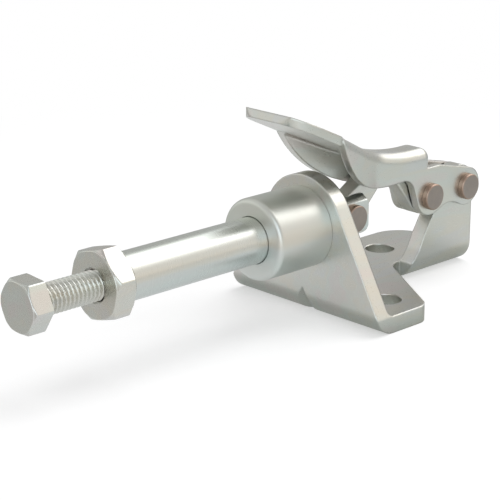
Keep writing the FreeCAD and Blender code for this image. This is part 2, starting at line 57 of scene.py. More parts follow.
def joinPoints(mesh, closest, outward=True):
    tidy = bmesh.new()
    tidy.from_mesh(mesh)
    bmesh.ops.remove_doubles(tidy, verts=tidy.verts, dist=closest)
    if outward:
        bmesh.ops.recalc_face_normals(tidy, faces=tidy.faces)
    tidy.to_mesh(mesh)
    tidy.free()


def addPiece(name, data):
    piece = bpy.data.objects.new(name, data)
    bpy.context.scene.collection.objects.link(piece)
    return piece


# A piece from points in millimetres and one or more arrays of faces.
def buildMesh(name, points, *faces):
    mesh = bpy.data.meshes.new(name)
    mesh.from_pydata(np.asarray(points) * mm, [], sum((part.tolist() for part in faces), []))
    joinPoints(mesh, 2e-7)  # closes poles and plain corners
    return addPiece(name, mesh)


# Each corner becomes a quadratic curve whose legs are round * tan(half the turn) long.
def softProfile(corners, rounds, steps=7):
    spots = np.array(corners, float)
    before = spots - np.roll(spots, 1, 0)
    after = np.roll(spots, -1, 0) - spots
    wayIn = before / np.linalg.norm(before, axis=1)[:, None]
    wayOut = after / np.linalg.norm(after, axis=1)[:, None]
    turned = np.arccos(np.clip((wayIn * wayOut).sum(1), -1, 1))
    leg = np.array(rounds, float) * np.tan(turned / 2)
    s = np.linspace(0, 1, steps)[None, :, None]
    start = (spots - wayIn * leg[:, None])[:, None]
    end = (spots + wayOut * leg[:, None])[:, None]
    return ((1 - s) ** 2 * start + 2 * s * (1 - s) * spots[:, None] + s ** 2 * end).reshape(-1, 2)


# A profile of (along, radius) carried round an axis: along * axis + radius * (cos, sin).
def turnedPoints(profile, steps, way, centre):
    angle = np.linspace(0, 2 * math.pi, steps, endpoint=False)[None, :]
    along = np.repeat(profile[:, :1], steps, 1)
    first, second = profile[:, 1:] * np.cos(angle), profile[:, 1:] * np.sin(angle)
    parts = (along, first, second) if way == "x" else (second, along, first)
    return np.stack(parts, -1).reshape(-1, 3) + np.array(centre)


def smoothShade(piece, sharpest=None):
    piece.data.shade_smooth()
    if sharpest is not None:
        piece.data.set_sharp_from_angle(angle=math.radians(sharpest))


# Gives a new piece its finish, its body and the CAD nodes that it stands for.
def settle(piece, body, finish, nodes):
    piece.data.materials.clear()
    piece.data.materials.append(finish)
    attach(piece, body)
    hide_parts(*nodes)


# finishes
noiseSpan = (0.3, 0.7)  # most of a noise's values lie between these


def startFinish(name):
    finish = bpy.data.materials.new(name)
    finish.use_nodes = True
    nodes, links = finish.node_tree.nodes, finish.node_tree.links
    return finish, nodes, links, nodes["Principled BSDF"]


# Noise on the millimetre coordinates, each axis multiplied by its own stretch.
def noiseAt(nodes, links, source, stretch, detail=2.0, roughness=0.55):
    mapping = nodes.new("ShaderNodeMapping")
    mapping.inputs["Scale"].default_value = [value / mm for value in stretch]
    noise = nodes.new("ShaderNodeTexNoise")
    noise.inputs["Scale"].default_value = 1.0
    noise.inputs["Detail"].default_value = detail
    noise.inputs["Roughness"].default_value = roughness
    links.new(source, mapping.inputs["Vector"])
    links.new(mapping.outputs["Vector"], noise.inputs["Vector"])
    return noise.outputs["Fac"]


def rampOf(nodes, links, source, stops):
    ramp = nodes.new("ShaderNodeValToRGB")
    bar = ramp.color_ramp
    bar.interpolation = "EASE"
    while len(bar.elements) < len(stops):
        bar.elements.new(0.5)
    for element, (place, colour) in zip(bar.elements, stops):
        element.position = place
        element.color = (*colour, 1.0)
    links.new(source, ramp.inputs["Fac"])
    return ramp.outputs["Color"]


def mixColours(nodes, links, kind, amount, first, second):
    mix = nodes.new("ShaderNodeMix")
    mix.data_type = "RGBA"
    mix.blend_type = kind
    if isinstance(amount, float):
        mix.inputs["Factor"].default_value = amount
    else:
        links.new(amount, mix.inputs["Factor"])
    for socket, value in ((mix.inputs[6], first), (mix.inputs[7], second)):
        if isinstance(value, tuple):
            socket.default_value = (*value, 1.0)
        else:
            links.new(value, socket)
    return mix.outputs[2]


# Carries a value from one span to another, here to 0 and 1 unless other ends are given.
def rangeOf(nodes, links, source, fromLow, fromHigh, low=0.0, high=1.0, smooth=False):
    spread = nodes.new("ShaderNodeMapRange")
    if smooth:
        spread.interpolation_type = "SMOOTHSTEP"
    for key, value in (("From Min", fromLow), ("From Max", fromHigh), ("To Min", low), ("To Max", high)):
        spread.inputs[key].default_value = value
    links.new(source, spread.inputs["Value"])
    return spread.outputs["Result"]


def mathNode(nodes, links, kind, *values):
    node = nodes.new("ShaderNodeMath")
    node.operation = kind
    for socket, value in zip(node.inputs, values):
        if isinstance(value, float):
            socket.default_value = value
        else:
            links.new(value, socket)
    return node.outputs[0]


# Adds one fine relief after another to the shader's normal, over edges rounded by a radius.
def bumpFrom(nodes, links, heights, shader, edge=0.0, samples=8):
    last = None
    if edge:
        rounded = nodes.new("ShaderNodeBevel")
        rounded.samples = samples
        rounded.inputs["Radius"].default_value = edge * mm
        last = rounded.outputs["Normal"]
    for source, distance in heights:
        bump = nodes.new("ShaderNodeBump")
        bump.inputs["Strength"].default_value = 1.0
        bump.inputs["Distance"].default_value = distance * mm
        links.new(source, bump.inputs["Height"])
        if last is not None:
            links.new(last, bump.inputs["Normal"])
        last = bump.outputs["Normal"]
    links.new(last, shader.inputs["Normal"])


# Two tones that drift over each other in soft clouds.
def driftingTones(nodes, links, place, looks):
    cloud = noiseAt(nodes, links, place, looks["cloudStretch"], detail=4.0)
    share = rangeOf(nodes, links, cloud, *looks["cloudSpan"])
    return mixColours(nodes, links, "MIX", share, looks["cool"], looks["warm"])


zincSheet = {
    "cool": (0.645, 0.65, 0.635),
    "warm": (0.675, 0.655, 0.63),
    "cloudStretch": (0.09, 0.11, 0.12),
    "cloudSpan": (0.35, 0.65),
    "filmStretch": (0.05, 0.16, 0.17),
    "tints": [(0.36, (0.97, 0.99, 1.0)), (0.46, (1.0, 0.99, 0.93)),
              (0.54, (0.97, 1.0, 0.97)), (0.64, (1.0, 0.96, 0.95))],
    "tintAmount": 0.8,
    "roughness": (0.27, 0.36),
    "grain": 0.0004,  # height of the finest relief, in millimetres
    "grainStretch": (2.2, 5.0, 5.0),
    "wave": 0.004,  # height of the slow unevenness
    "waveStretch": (0.22, 0.3, 0.35),
    "edge": 0.45,  # radius that the material gives to sheared edges
}
zincFastener = {
    **zincSheet,
    "cool": (0.69, 0.71, 0.70),
    "warm": (0.69, 0.67, 0.64),
    "roughness": (0.26, 0.29),
    "grain": 0.00001,
    "grainStretch": (1.5, 1.5, 1.5),
    "wave": 0.001,
    "waveStretch": (0.4, 0.4, 0.4),
    "edge": 0.0,
}


# Bright plating: two greys drift over each other, a thin film tints them, grain dulls them.
def zincFinish(name, looks):
    finish, nodes, links, shader = startFinish(name)
    place = nodes.new("ShaderNodeTexCoord").outputs["Object"]
    grey = driftingTones(nodes, links, place, looks)
    film = noiseAt(nodes, links, place, looks["filmStretch"])
    tint = rampOf(nodes, links, film, looks["tints"])
    grain = noiseAt(nodes, links, place, looks["grainStretch"])
    wave = noiseAt(nodes, links, place, looks["waveStretch"])
    colour = mixColours(nodes, links, "MULTIPLY", looks["tintAmount"], grey, tint)
    links.new(colour, shader.inputs["Base Color"])
    links.new(rangeOf(nodes, links, grain, *noiseSpan, *looks["roughness"]), shader.inputs["Roughness"])
    shader.inputs["Metallic"].default_value = 1.0
    bumpFrom(nodes, links, [(wave, looks["wave"]), (grain, looks["grain"])], shader, looks["edge"])
    return finish


zincTurned = {
    "cool": (0.685, 0.695, 0.685),
    "warm": (0.70, 0.69, 0.665),
    "cloudStretch": (0.1, 0.13, 0.13),
    "cloudSpan": (0.35, 0.65),
    # painted reflection: light and dark bands in the colour, by share of a turn round the axis
    "reflectionBands": [(0.0, (1.0, 1.0, 1.0)), (0.36, (0.93, 0.98, 0.98)), (0.44, (0.93, 1.0, 1.0)),
              (0.49, (0.95, 0.99, 1.0)), (0.525, (1.0, 0.97, 0.92)), (0.58, (0.90, 0.92, 0.92)),
              (0.635, (0.98, 1.0, 0.98)), (0.72, (0.95, 1.0, 0.97))],  # by share of a turn round the axis
    "sway": 0.02,  # how far noise moves the bands, in turns
    "swayStretch": (0.06, 0.3, 0.3),
    "roughness": (0.27, 0.29),
    "ring": 0.00006,
    "ringStretch": (9.0, 0.12, 0.12),
    "grain": 0.00015,
    "grainStretch": (6.0, 6.0, 6.0),
}
zincBarrel = {
    **zincTurned,
    "cool": (0.725, 0.725, 0.70),
    "warm": (0.745, 0.72, 0.69),
    "roughness": (0.38, 0.42),
}


# Turned plating: rings along X in roughness and relief, and painted reflection bands, lighter and darker
# colours set by the angle round the axis.
def turnedFinish(name, looks, height):
    finish, nodes, links, shader = startFinish(name)
    place = nodes.new("ShaderNodeTexCoord").outputs["Object"]
    grey = driftingTones(nodes, links, place, looks)
    apart = nodes.new("ShaderNodeSeparateXYZ")
    across = nodes.new("ShaderNodeCombineXYZ")
    around = nodes.new("ShaderNodeTexGradient")
    around.gradient_type = "RADIAL"
    links.new(place, apart.inputs[0])
    links.new(apart.outputs["Y"], across.inputs["X"])
    links.new(mathNode(nodes, links, "SUBTRACT", apart.outputs["Z"], height * mm), across.inputs["Y"])
    links.new(across.outputs[0], around.inputs["Vector"])
    sway = noiseAt(nodes, links, place, looks["swayStretch"])
    turn = mathNode(nodes, links, "MULTIPLY_ADD", sway, looks["sway"], around.outputs["Fac"])
    # painted reflection: the bands lighten and darken the colour by the angle round the axis, as mirrored
    # light would
    tint = rampOf(nodes, links, turn, looks["reflectionBands"])
    ring = noiseAt(nodes, links, place, looks["ringStretch"], detail=3.0)
    grain = noiseAt(nodes, links, place, looks["grainStretch"])
    links.new(mixColours(nodes, links, "MULTIPLY", 1.0, grey, tint), shader.inputs["Base Color"])
    links.new(rangeOf(nodes, links, ring, *noiseSpan, *looks["roughness"]), shader.inputs["Roughness"])
    shader.inputs["Metallic"].default_value = 1.0
    bumpFrom(nodes, links, [(ring, looks["ring"]), (grain, looks["grain"])], shader)
    return finish


pinSteel = {
    "cool": (0.315, 0.275, 0.255),
    "warm": (0.35, 0.30, 0.27),
    "cloudStretch": (0.7, 0.7, 0.7),
    "cloudSpan": noiseSpan,
    # painted highlight: a copper tone on the rounded rim, where the head catches the light
    "rim": (0.46, 0.33, 0.265),
    "rimHighlightFrom": 2.05,
    "rimHighlightTo": 2.35,
    "roughness": (0.30, 0.44),
    "ring": 0.0012,
    "ringTurns": 26.0,  # radians of the ring wave in a millimetre of radius
    "grain": 0.002,
    "grainStretch": (5.0, 5.0, 5.0),
}


# Bare pin steel: brown-grey faces with turned rings, and a painted copper highlight where the radius
# nears the rim.
def pinFinish(name, looks, centreX):
    finish, nodes, links, shader = startFinish(name)
    place = nodes.new("ShaderNodeTexCoord").outputs["Object"]
    centred = nodes.new("ShaderNodeMapping")
    centred.inputs["Location"].default_value = (-centreX * mm, 0.0, -axisHeight * mm)
    flat = nodes.new("ShaderNodeVectorMath")
    flat.operation = "MULTIPLY"
    flat.inputs[1].default_value = (1.0 / mm, 0.0, 1.0 / mm)
    reach = nodes.new("ShaderNodeVectorMath")
    reach.operation = "LENGTH"
    links.new(place, centred.inputs["Vector"])
    links.new(centred.outputs["Vector"], flat.inputs[0])
    links.new(flat.outputs[0], reach.inputs[0])
    radius = reach.outputs["Value"]
    face = driftingTones(nodes, links, place, looks)
    # painted highlight: the rim's copper tone blends in over the rounded edge
    edge = rangeOf(nodes, links, radius, looks["rimHighlightFrom"], looks["rimHighlightTo"], smooth=True)
    rings = mathNode(nodes, links, "SINE", mathNode(nodes, links, "MULTIPLY", radius, looks["ringTurns"]))
    grain = noiseAt(nodes, links, place, looks["grainStretch"])
    links.new(mixColours(nodes, links, "MIX", edge, face, looks["rim"]), shader.inputs["Base Color"])
    links.new(rangeOf(nodes, links, grain, *noiseSpan, *looks["roughness"]), shader.inputs["Roughness"])
    shader.inputs["Metallic"].default_value = 1.0
    bumpFrom(nodes, links, [(rings, looks["ring"]), (grain, looks["grain"])], shader)
    return finish


sheetZinc = zincFinish("sheetZinc", zincSheet)
fastenerZinc = zincFinish("fastenerZinc", zincFastener)
turnedZinc = turnedFinish("turnedZinc", zincTurned, axisHeight)
barrelZinc = turnedFinish("barrelZinc", zincBarrel, axisHeight)
print("finishes ready")


# sheet pieces and plunger: the CAD shapes with their seams joined and their shading evened
def closedCopy(node, name, closest=1e-6, sharpest=13):
    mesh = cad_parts[node].data.copy()
    mesh.name = name
    joinPoints(mesh, closest, outward=False)
    piece = addPiece(name, mesh)
    smoothShade(piece, sharpest)
    return piece


# Large faces outweigh small ones, so flats stay flat beside their bends.
def evenShading(piece):
    evened = piece.modifiers.new("evenShading", "WEIGHTED_NORMAL")
    evened.keep_sharp = True


# Flats that a triangle cuts up are joined first, so that only true edges are bevelled.
def brokenEdges(piece, width, segments=3, leastAngle=28.0, flattest=0.4):
    tidy = bmesh.new()
    tidy.from_mesh(piece.data)
    bmesh.ops.dissolve_limit(tidy, angle_limit=math.radians(flattest), verts=tidy.verts, edges=tidy.edges)
    tidy.to_mesh(piece.data)
    tidy.free()
    bevel = piece.modifiers.new("brokenEdges", "BEVEL")
    bevel.width = width * mm
    bevel.segments = segments
    bevel.use_clamp_overlap = False
    bevel.limit_method = "ANGLE"
    bevel.angle_limit = math.radians(leastAngle)


sheetPieces = {
    "base_bracket": {"name": "bentBase", "body": "base", "bevel": 0.0},
    "link": {"name": "archedLink", "body": "link", "bevel": 0.3},
    "handle": {"name": "handLever", "body": "handle", "bevel": 0.0},
}
for node, plan in sheetPieces.items():
    sheetPiece = closedCopy(node, plan["name"])
    if plan["bevel"]:
        brokenEdges(sheetPiece, plan["bevel"])
    evenShading(sheetPiece)
    settle(sheetPiece, plan["body"], sheetZinc, [node])
print("sheet pieces dressed")

plunger = {
    "radius": 4.0,
    "nearSurface": 0.02,  # a point this close to the radius lies on the round
    "leastAlike": 0.98,  # cosine between a face's normal and the radial way
}


# Radial normals on the faces of a round bar along X, plain ones on its flats and ends.
def roundShading(piece, plan, height):
    mesh = piece.data
    smoothShade(piece)
    spots = np.empty(len(mesh.vertices) * 3)
    corners = np.empty(len(mesh.loops), int)
    totals = np.empty(len(mesh.polygons), int)
    facing = np.empty(len(mesh.polygons) * 3)
    mesh.vertices.foreach_get("co", spots)
    mesh.loops.foreach_get("vertex_index", corners)
    mesh.polygons.foreach_get("loop_total", totals)
    mesh.polygons.foreach_get("normal", facing)
    away = spots.reshape(-1, 3) - np.array([0.0, 0.0, height * mm])
    away[:, 0] = 0.0
    reach = np.linalg.norm(away, axis=1)
    away = (away / np.maximum(reach, 1e-9)[:, None])[corners]
    owner = np.repeat(np.arange(len(totals)), totals)
    plain = facing.reshape(-1, 3)[owner]
    onRound = np.abs(reach[corners] - plan["radius"] * mm) < plan["nearSurface"] * mm
    onRound &= (away * plain).sum(1) > plan["leastAlike"]
    misses = np.bincount(owner, weights=~onRound, minlength=len(totals))
    wholeFace = (misses == 0)[owner][:, None]
    mesh.normals_split_custom_set(np.where(wholeFace, away, plain).tolist())


plungerBar = closedCopy("plunger", "plungerBar")
roundShading(plungerBar, plunger, axisHeight)
settle(plungerBar, "plunger", turnedZinc, ["plunger"])
print("plunger dressed")


# guide barrel
barrel = {
    "front": 12.04,
    "radius": 7.05,
    "bore": 4.05,
    "spigot": 6.0,
    "sheet": 3.0,
    "lip": 0.7,
    "spread": 0.6,
    "rearBoreRound": 0.15,
    "frontBoreRound": 0.18,
    "frontRound": 1.0,
    "shoulderRound": 0.12,
    "spreadRound": 0.15,
    "lipRound": 0.3,
    "roundSteps": 9,
    "steps": 192,
    "sharpest": 40,
}


def barrelProfile(plan):
    rear = -plan["sheet"] - plan["lip"]
    corners = np.array([
        (rear, plan["bore"], plan["rearBoreRound"]),
        (plan["front"], plan["bore"], plan["frontBoreRound"]),
        (plan["front"], plan["radius"], plan["frontRound"]),
        (0.0, plan["radius"], plan["shoulderRound"]),
        (0.0, plan["spigot"], 0.0),
        (-plan["sheet"], plan["spigot"], 0.0),
        (-plan["sheet"], plan["spigot"] + plan["spread"], plan["spreadRound"]),
        (rear, plan["spigot"], plan["lipRound"]),
    ])
    return softProfile(corners[:, :2], corners[:, 2], plan["roundSteps"])


profile = barrelProfile(barrel)
barrelPoints = turnedPoints(profile, barrel["steps"], "x", (shiftX, 0, axisHeight))
guideBarrel = buildMesh("turnedBarrel", barrelPoints, gridFaces(len(profile), barrel["steps"], True))
smoothShade(guideBarrel, barrel["sharpest"])
settle(guideBarrel, "base", barrelZinc, ["guide_barrel"])
print("guide barrel built")


# riveted pins
pins = {
    "plunger_pin": {"name": "plungerPin", "body": "plunger", "x": -9.5, "seat": 3.0},
    "link_pin": {"name": "linkPin", "body": "handle", "x": -29.6, "seat": 3.2},
    "handle_pin": {"name": "leverPin", "body": "handle", "x": -39.6, "seat": 3.2},
}
pinShape = {
    "radius": 1.6,
    "head": 2.4,
    "height": 1.15,
    "crown": 0.04,
    "rimRound": 0.35,
    "seatRound": 0.1,
    "steps": 96,
    "sharpest": 40,
}


def pinProfile(shape, seat):
    end = seat + shape["height"]
    rim = end - shape["crown"]
    half = np.array([
        (end, 0.0, 0.0),
        (rim, shape["head"], shape["rimRound"]),
        (seat, shape["head"], shape["seatRound"]),
        (seat, shape["radius"], 0.0),
    ])
    corners = np.vstack([half, half[::-1] * (-1, 1, 1)])
    return softProfile(corners[:, :2], corners[:, 2])


for node, plan in pins.items():
    profile = pinProfile(pinShape, plan["seat"])
    centreX = plan["x"] + shiftX
    pinPoints = turnedPoints(profile, pinShape["steps"], "y", (centreX, 0, axisHeight))
    pin = buildMesh(plan["name"], pinPoints, gridFaces(len(profile), pinShape["steps"], True))
    smoothShade(pin, pinShape["sharpest"])
    settle(pin, plan["body"], pinFinish(plan["name"] + "Steel", pinSteel, centreX), [node])
print("pins built")


# hexagons: the radius at an angle is the smaller of the six flats and the turned cap
hexagon = {
    "sharpness": 55.0,  # power of the soft maximum and minimum, crisper when higher
    "faceShare": 0.89,  # radius where the chamfer starts, in corner radii
    "coneShare": 1.06,  # and where it ends
    "slope": 30.0,
    "coneRings": 12,
    "edgeRings": 6,
    "open": 1.2,  # a cap of so many corner radii leaves the hexagon whole
    "least": 1e-5,  # smallest radius, so that no power of zero is taken
    "sharpest": 35,
}


# Flats: corner * cos(30) over the largest of three cosines, as a high power mean.
def hexagonRadius(angle, corner, sharpness):
    ways = np.radians([30.0, 90.0, 150.0])
    power = (np.abs(np.cos(angle[..., None] - ways)) ** sharpness).sum(-1) ** (1 / sharpness)
    return corner * math.cos(math.radians(30)) / power


def softLess(first, second, sharpness):
    return (first ** -sharpness + second ** -sharpness) ** (-1 / sharpness)


# Rings at each place along X, cut to the hexagon and to that place's turned cap, less an inset.
def hexagonRings(along, caps, insets, corner, turned, steps):
    angle = np.linspace(0, 2 * math.pi, steps, endpoint=False)[None, :]
    caps = np.maximum(np.array(caps, float), hexagon["least"])[:, None]
    flats = hexagonRadius(angle, corner, hexagon["sharpness"])
    radius = softLess(flats, caps, hexagon["sharpness"]) - np.array(insets, float)[:, None]
    radius = np.maximum(radius, hexagon["least"])
    turn = angle + math.radians(turned)
    places = np.repeat(np.array(along, float)[:, None], steps, 1)
    spots = np.stack([places, radius * np.cos(turn), radius * np.sin(turn)], -1)
    return spots.reshape(-1, 3) + np.array([shiftX, 0, axisHeight])


# From the end face's round to the full hexagon: the cap grows by depth / tan(slope).
def chamferRings(end, inwards, corner):
    rise = math.tan(math.radians(hexagon["slope"]))
    deepest = (hexagon["coneShare"] - hexagon["faceShare"]) * corner * rise
    depth = np.linspace(0, deepest, hexagon["coneRings"])
    return end + inwards * depth, hexagon["faceShare"] * corner + depth / rise


# The quarter round between an end face and the sides: places along X and insets.
def edgeRings(end, inwards, rounding):
    turn = np.linspace(0, math.pi / 2, hexagon["edgeRings"])[:-1]
    return end + inwards * rounding * (1 - np.cos(turn)), rounding * (1 - np.sin(turn))


spindle = {
    "headFront": 59.7,
    "headHeight": 3.5,
    "headCorner": 4.62,
    "headTurn": -3.3,
    "rounding": 0.17,
    "faceRings": 8,
    "lastFaceShare": 0.965,  # the face's outermost ring, beside its rounded edge
    "sideRings": 8,
    "sideEnd": 0.15,
    "backBreak": 0.05,
    "backShares": (1.2, 0.985, 0.7, 0.0),  # caps behind the head, in corner radii
    "length": 30.0,
    "crest": 2.5,
    "root": 2.06,
    "pitch": 0.8,
    "flankRise": 1.32,
    "rootFlat": 0.14,
    "flankRound": 0.35,  # share of the soft flank over the straight one
    "overlap": 0.05,  # the thread reaches this far into the head
    "runOutGap": 0.35,
    "runOut": 0.5,
    "tipTaper": 0.9,
    "perPitch": 14,
    "headSteps": 480,
    "threadSteps": 64,
}


def spindleHead(plan):
    front, corner, edge = plan["headFront"], plan["headCorner"], plan["rounding"]
    back = front - plan["headHeight"]
    edgePlaces, edgeInsets = edgeRings(front, -1, edge)
    conePlaces, coneCaps = chamferRings(front - edge, -1, corner)
    faceCaps = np.append(np.linspace(0, 1, plan["faceRings"])[:-1], plan["lastFaceShare"]) * coneCaps[0]
    sides = np.linspace(conePlaces[-1], back + plan["sideEnd"], plan["sideRings"])[1:]
    backPlaces = [back + plan["backBreak"], back, back, back]
    along = np.concatenate([np.full(len(faceCaps), front), edgePlaces, conePlaces, sides, backPlaces])
    edgeCaps = np.full(len(edgePlaces), coneCaps[0])
    sideCaps = np.full(len(sides), corner * hexagon["open"])
    caps = np.concatenate([faceCaps, edgeCaps, coneCaps, sideCaps, corner * np.array(plan["backShares"])])
    faceInsets = np.full(len(faceCaps), edge)
    insets = np.zeros(len(along))
    insets[:len(faceCaps) + len(edgeInsets)] = np.concatenate([faceInsets, edgeInsets])
    points = hexagonRings(along, caps, insets, corner, plan["headTurn"], plan["headSteps"])
    return points, gridFaces(len(along), plan["headSteps"])


# Radius follows the share of a pitch passed along X less the share of a turn round it.
def spindleThread(plan):
    steps = plan["threadSteps"]
    front = plan["headFront"] - plan["headHeight"] + plan["overlap"]
    back = plan["headFront"] - plan["headHeight"] - plan["length"]
    rows = int(plan["length"] / plan["pitch"] * plan["perPitch"])
    along = np.linspace(back, front, rows)[:, None]
    angle = np.linspace(0, 2 * math.pi, steps, endpoint=False)[None, :]
    share = (along / plan["pitch"] - angle / (2 * math.pi)) % 1.0
    flank = np.clip((0.5 - np.abs(share - 0.5)) * 2 * plan["flankRise"] - plan["rootFlat"], 0, 1)
    soft = flank * flank * (3 - 2 * flank)
    height = soft * plan["flankRound"] + flank * (1 - plan["flankRound"])
    fadeIn = np.clip((front - plan["runOutGap"] - along) / plan["runOut"], 0, 1)
    fadeOut = np.clip((along - back) / plan["tipTaper"], 0, 1)
    radius = plan["root"] + (plan["crest"] - plan["root"]) * height * fadeIn * fadeOut
    spots = np.stack([np.repeat(along, steps, 1), radius * np.cos(angle), radius * np.sin(angle)], -1)
    tips = np.array([[back, 0.0, 0.0], [front, 0.0, 0.0]])
    points = np.vstack([spots.reshape(-1, 3), tips]) + np.array([shiftX, 0, axisHeight])
    cap = np.arange(steps)
    beside = (cap + 1) % steps
    last, tip = (rows - 1) * steps, rows * steps
    backFan = np.stack([cap, beside, np.full(steps, tip)], -1)
    frontFan = np.stack([cap + last, beside + last, np.full(steps, tip + 1)], -1)
    return points, gridFaces(rows, steps), np.concatenate([backFan, frontFan])


headPoints, headFaces = spindleHead(spindle)
threadPoints, threadFaces, threadFans = spindleThread(spindle)
headCount = len(headPoints)
spindleScrew = buildMesh("spindleScrew", np.vstack([headPoints, threadPoints]),
                         headFaces, threadFaces + headCount, threadFans + headCount)
smoothShade(spindleScrew, hexagon["sharpest"])
settle(spindleScrew, "spindle", fastenerZinc, ["spindle_bolt"])
print("spindle built")

nut = {
    "back": 41.3,
    "height": 4.0,
    "corner": 6.35,
    "turn": 14.3,
    "hole": 2.55,
    "sink": 0.35,
    "rounding": 0.2,
    "faceRings": 6,
    "lastFaceShare": 0.975,
    "sideRings": 6,
    "steps": 480,
}


# A closed ring of rings: rear face, rear cone, flats, front cone, front face, sunk bore.
def lockNut(plan):
    back, hole, corner, edge = plan["back"], plan["hole"], plan["corner"], plan["rounding"]
    front = back + plan["height"]
    rearEdge, edgeInsets = edgeRings(back, 1, edge)
    frontEdge = edgeRings(front, -1, edge)[0]
    rearPlaces, coneCaps = chamferRings(back + edge, 1, corner)
    frontPlaces = chamferRings(front - edge, -1, corner)[0]
    sides = np.linspace(rearPlaces[-1], frontPlaces[-1], plan["sideRings"] + 2)[1:-1]
    face = np.linspace(hole + plan["sink"], coneCaps[0], plan["faceRings"])[:-1]
    face = np.append(face, coneCaps[0] * plan["lastFaceShare"])
    rearFace, frontFace = np.full(len(face), back), np.full(len(face), front)
    rearHalf = [[back + plan["sink"]], rearFace, rearEdge, rearPlaces]
    frontHalf = [frontPlaces[::-1], frontEdge[::-1], frontFace, [front - plan["sink"]]]
    along = np.concatenate([*rearHalf, sides, *frontHalf])
    halfCaps = np.concatenate([[hole], face, np.full(len(rearEdge), coneCaps[0]), coneCaps])
    sideCaps = np.full(len(sides), corner * hexagon["open"])
    caps = np.concatenate([halfCaps, sideCaps, halfCaps[::-1]])
    faceInsets = edge * (face - hole) / (face[-1] - hole)
    halfInsets = np.concatenate([[0.0], faceInsets, edgeInsets, np.zeros(len(coneCaps))])
    insets = np.concatenate([halfInsets, np.zeros(len(sides)), halfInsets[::-1]])
    points = hexagonRings(along, caps, insets, corner, plan["turn"], plan["steps"])
    return points, gridFaces(len(along), plan["steps"], True)


nutPiece = buildMesh("hexagonNut", *lockNut(nut))
smoothShade(nutPiece, hexagon["sharpest"])
settle(nutPiece, "nut", fastenerZinc, ["lock_nut"])
print("lock nut built")


# studio
studio = {
    "floorHalf": 3.0,
    "floorNear": 0.075,  # from here to the next the floor turns into plain white
    "floorFar": 0.16,
    "floorColour": (0.67, 0.67, 0.675),
    "floorRoughness": 0.9,
    "floorShine": 0.1,
    "floorLift": 0.45,
    "mirroredLift": 1.45,
    "mirroredShade": 0.45,
    "footprint": (-0.012, 0.0, 0.022, 0.0175),  # middle and half size of the clamp's foot
    # painted shadow: at the clamp's foot the mirrored floor keeps this share of its tone
    "nearShade": (0.60, 0.62, 0.60),
    "nearReach": 0.009,
    "mirrored": [(0.0, (0.50, 0.495, 0.48)), (0.15, (0.515, 0.51, 0.49)), (0.33, (0.75, 0.765, 0.77)),
                 (0.6, (0.72, 0.74, 0.73)), (1.0, (0.72, 0.76, 0.745))],
    "mirroredFrom": -0.14,
    "mirroredTo": 0.12,
    "alongX": [(0.0, (0.33, 0.33, 0.33)), (0.4, (0.5, 0.5, 0.5)),
               (0.74, (0.5, 0.5, 0.5)), (1.0, (0.85, 0.86, 0.84))],  # half the factor, doubled later
    "alongFrom": -0.25,
    "alongTo": 0.25,
    "plainLevel": (0.5, 0.5, 0.5),
    "mirrorLevel": (0.52, 0.52, 0.51),
}
cards = {
    "softBox": {"way": (-0.64, 0.08, 0.76), "outer": 36, "inner": 16, "colour": (1.7, 1.7, 1.7)},
    "warmSide": {"way": (-0.64, 0.72, 0.25), "outer": 38, "inner": 12, "colour": (0.48, 0.44, 0.37)},
    "cameraSide": {"way": (0.70, 0.66, 0.12), "outer": 46, "inner": 14, "colour": (0.95, 1.12, 1.2)},
    "farSide": {"way": (0.62, -0.78, 0.02), "outer": 40, "inner": 15, "colour": (0.35, 0.36, 0.35)},
    "highBack": {"way": (0.2, -0.6, 0.75), "outer": 45, "inner": 20, "colour": (0.15, 0.15, 0.15)},
}


# The light of all cards in a direction, over an even level.
def cardLight(nodes, links, plans, level):
    way = nodes.new("ShaderNodeTexCoord").outputs["Generated"]
    total = None
    for card in plans.values():
        length = math.sqrt(sum(value * value for value in card["way"]))
        dot = nodes.new("ShaderNodeVectorMath")
        dot.operation = "DOT_PRODUCT"
        dot.inputs[1].default_value = [value / length for value in card["way"]]
        links.new(way, dot.inputs[0])
        outer, inner = (math.cos(math.radians(card[side])) for side in ("outer", "inner"))
        add = nodes.new("ShaderNodeVectorMath")
        add.operation = "MULTIPLY_ADD"
        add.inputs[0].default_value = card["colour"]
        links.new(rangeOf(nodes, links, dot.outputs["Value"], outer, inner, smooth=True), add.inputs[1])
        if total is None:
            add.inputs[2].default_value = level
        else:
            links.new(total, add.inputs[2])
        total = add.outputs[0]
    return total


# What a ray sees beyond the floor: white for the camera, soft cards for metal, a plain level else.
def skyNodes(plan, cardPlans):
    world = bpy.data.worlds.new("studioLight")
    bpy.context.scene.world = world
    world.use_nodes = True
    nodes, links = world.node_tree.nodes, world.node_tree.links
    path = nodes.new("ShaderNodeLightPath")
    total = cardLight(nodes, links, cardPlans, plan["mirrorLevel"])
    metal = mixColours(nodes, links, "MIX", path.outputs["Is Glossy Ray"], plan["plainLevel"], total)
    straight = [path.outputs["Is Camera Ray"], path.outputs["Is Transmission Ray"]]
    seen = mathNode(nodes, links, "MAXIMUM", *straight)
    final = mixColours(nodes, links, "MIX", seen, metal, (1.0, 1.0, 1.0))
    links.new(final, nodes["Background"].inputs["Color"])


# How far a place lies outside the clamp's foot.
def reachBeyond(nodes, links, apart, footprint):
    middleX, middleY, halfX, halfY = footprint
    squares = []
    for axis, middle, half in (("X", middleX, halfX), ("Y", middleY, halfY)):
        offset = mathNode(nodes, links, "SUBTRACT", apart.outputs[axis], middle)
        outside = mathNode(nodes, links, "SUBTRACT", mathNode(nodes, links, "ABSOLUTE", offset), half)
        beyond = mathNode(nodes, links, "MAXIMUM", outside, 0.0)
        squares.append(mathNode(nodes, links, "MULTIPLY", beyond, beyond))
    return mathNode(nodes, links, "SQRT", mathNode(nodes, links, "ADD", *squares))
